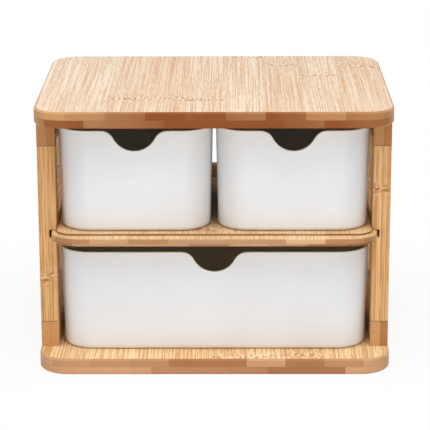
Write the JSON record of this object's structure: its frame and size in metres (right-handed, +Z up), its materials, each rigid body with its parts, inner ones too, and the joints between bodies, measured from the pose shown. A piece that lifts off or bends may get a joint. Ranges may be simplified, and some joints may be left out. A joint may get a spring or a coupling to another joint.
{
  "type": "desk drawer organizer",
  "caption": "Free-standing desk organizer: wooden panels on open side frames, a shelf, and white pull-out bins with finger notches.",
  "frame": {"origin": "middle of the footprint, on the surface that the base panel stands on", "axes": "+X to the right seen from the front, +Y from the open front with the finger notches to the rear, +Z up"},
  "size_m": [0.26, 0.205, 0.198],
  "materials": {
    "bamboo_board": "two-ply laminated bamboo board, satin clear coat",
    "bamboo_rail": "laminated bamboo strips, satin clear coat",
    "dowel_wood": "plain turned wood",
    "white_plastic": "semi-gloss moulded plastic",
    "screw_steel": "zinc-plated"
  },
  "bodies": {
    "cabinet": {"base_panel": "bamboo_board", "top_panel": "bamboo_board", "left_top_rail": "bamboo_rail", "left_mid_rail": "bamboo_rail", "left_bottom_rail": "bamboo_rail", "left_front_post": "bamboo_rail", "left_rear_post": "bamboo_rail", "right_top_rail": "bamboo_rail", "right_mid_rail": "bamboo_rail", "right_bottom_rail": "bamboo_rail", "right_front_post": "bamboo_rail", "right_rear_post": "bamboo_rail", "shelf_board": "bamboo_board", "shelf_stop_strip": "bamboo_rail", "base_stop_strip": "bamboo_rail", "top_panel_dowels": "dowel_wood", "base_screws": "screw_steel"},
    "left_small_drawer": {"left_small_bin": "white_plastic"},
    "right_small_drawer": {"right_small_bin": "white_plastic"},
    "wide_drawer": {"wide_bin": "white_plastic"}
  },
  "joints": [
    {"name": "left_small_bin_slide", "type": "slide", "parent": "cabinet", "child": "left_small_drawer", "axis": [0, -1, 0], "range_m": [0, 0.185]},
    {"name": "right_small_bin_slide", "type": "slide", "parent": "cabinet", "child": "right_small_drawer", "axis": [0, -1, 0], "range_m": [0, 0.185]},
    {"name": "wide_bin_slide", "type": "slide", "parent": "cabinet", "child": "wide_drawer", "axis": [0, -1, 0], "range_m": [0, 0.185]}
  ]
}
